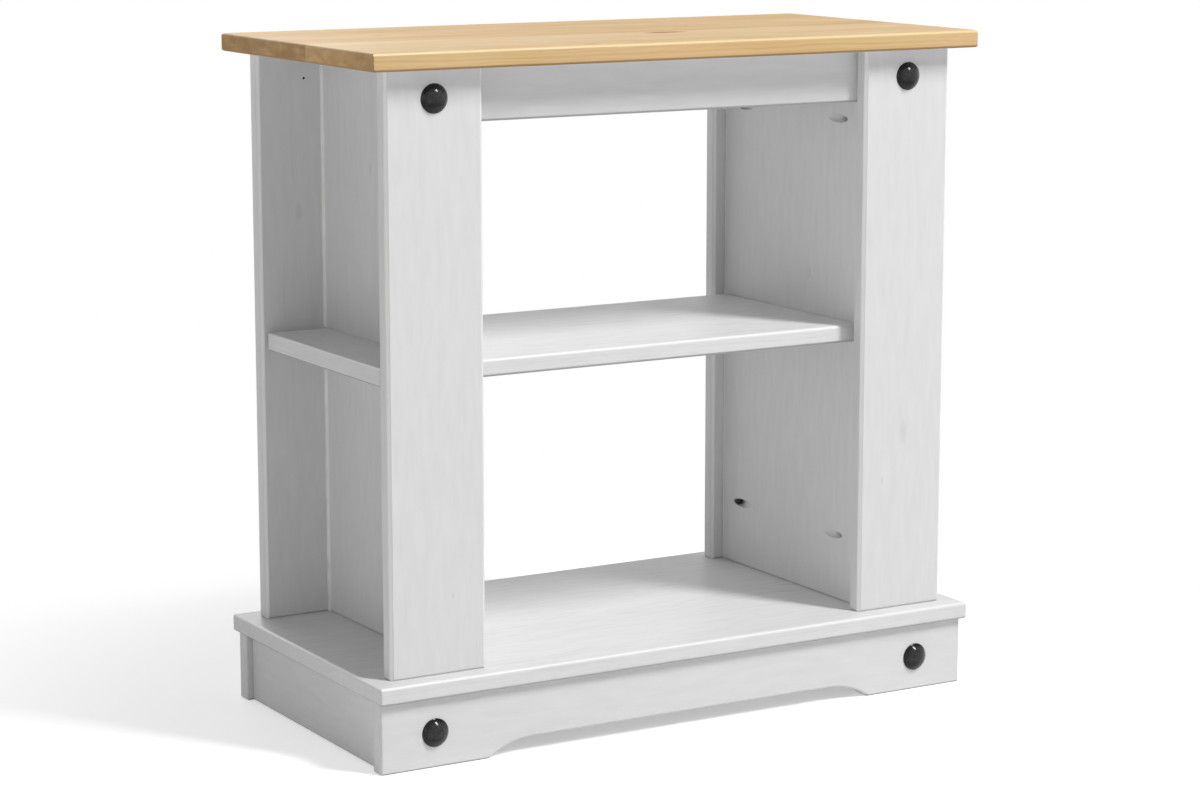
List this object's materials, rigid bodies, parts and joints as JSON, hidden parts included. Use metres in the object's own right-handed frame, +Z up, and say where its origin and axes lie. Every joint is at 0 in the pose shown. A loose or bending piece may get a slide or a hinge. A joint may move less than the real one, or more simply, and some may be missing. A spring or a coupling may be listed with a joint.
{
  "type": "aquarium stand",
  "caption": "Open shelf stand for an aquarium: clear-finished wooden top on flat white posts, side panels with outer shelves, and a base board on a recessed plinth with a shallow arch.",
  "frame": {"origin": "on the floor under the middle of the stand", "axes": "+X along the width, to the viewer's right; +Y from the front to the rear; +Z up"},
  "size_m": [0.8, 0.4, 0.8],
  "materials": {
    "white_paint": "satin white paint over pine",
    "clear_pine": "satin clear varnish over pine",
    "bare_pine": "bare sawn pine",
    "beech": "bare fluted beech",
    "black_stud": "semi-gloss black",
    "zinc_steel": "zinc-plated steel"
  },
  "bodies": {
    "root": {"top_board": "clear_pine", "base_board": "white_paint", "front_left_post": "white_paint", "front_right_post": "white_paint", "rear_left_post": "white_paint", "rear_right_post": "white_paint", "left_side_panel": "white_paint", "right_side_panel": "white_paint", "centre_shelf": "white_paint", "left_outer_shelf": "white_paint", "right_outer_shelf": "white_paint", "front_apron": "white_paint", "rear_apron": "white_paint", "front_plinth_board": "white_paint", "rear_plinth_board": "white_paint", "left_plinth_board": "white_paint", "right_plinth_board": "white_paint", "plinth_corner_blocks": "bare_pine", "post_studs": "black_stud", "plinth_studs": "black_stud", "front_pocket_screws": "zinc_steel", "rear_pocket_screws": "zinc_steel", "apron_pocket_screws": "zinc_steel", "top_dowels": "beech", "base_dowels": "beech", "shelf_dowels": "beech", "apron_dowels": "beech", "base_screws": "zinc_steel", "block_side_screws": "zinc_steel", "block_base_screws": "zinc_steel"}
  },
  "joints": []
}
